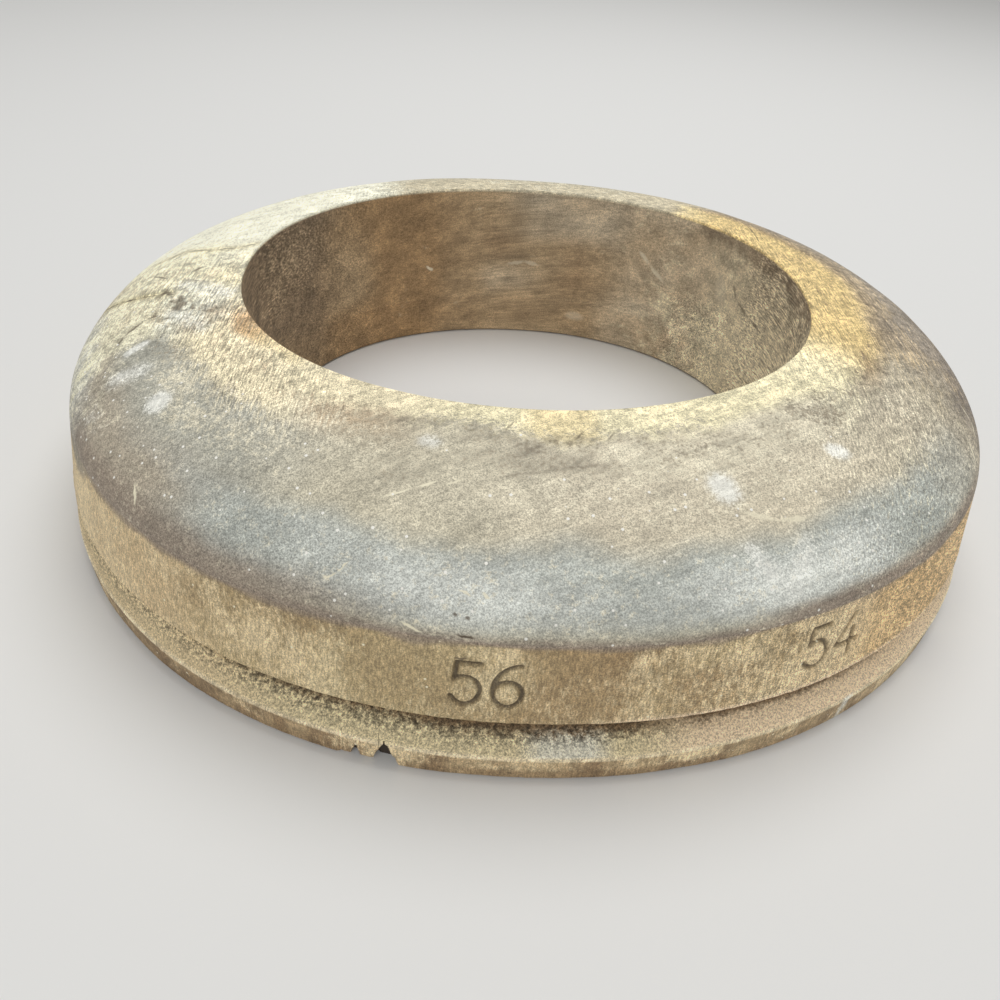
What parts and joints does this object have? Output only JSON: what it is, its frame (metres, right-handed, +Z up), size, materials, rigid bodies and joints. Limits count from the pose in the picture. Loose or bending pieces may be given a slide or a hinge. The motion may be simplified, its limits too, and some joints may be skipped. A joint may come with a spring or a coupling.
{
  "type": "hat brim block",
  "caption": "Oval wooden brim block for shaping hat brims: a carved ring with a head opening and a cord groove above its base.",
  "frame": {"origin": "middle of the ring's outline, on the surface that its underside rests on", "axes": "+X along the ring's long axis, -Y towards the front with the size marks, +Z up through the head opening"},
  "size_m": [0.3158, 0.2944, 0.0665],
  "materials": {
    "pale_wood": "bare wood, pale and worn, grey stains",
    "grey_wood": "bare wood, polished grey by steam and felt",
    "tan_wood": "bare sawn wood, dull",
    "warm_wood": "bare sawn wood, dull",
    "brown_wood": "bare sawn wood, dull",
    "dark_wood": "bare sawn wood, dull"
  },
  "bodies": {
    "root": {"brim_board_back": "pale_wood", "brim_board_front": "grey_wood", "base_board_left": "tan_wood", "base_board_front": "warm_wood", "base_board_right": "brown_wood", "base_board_back": "dark_wood"}
  },
  "joints": []
}
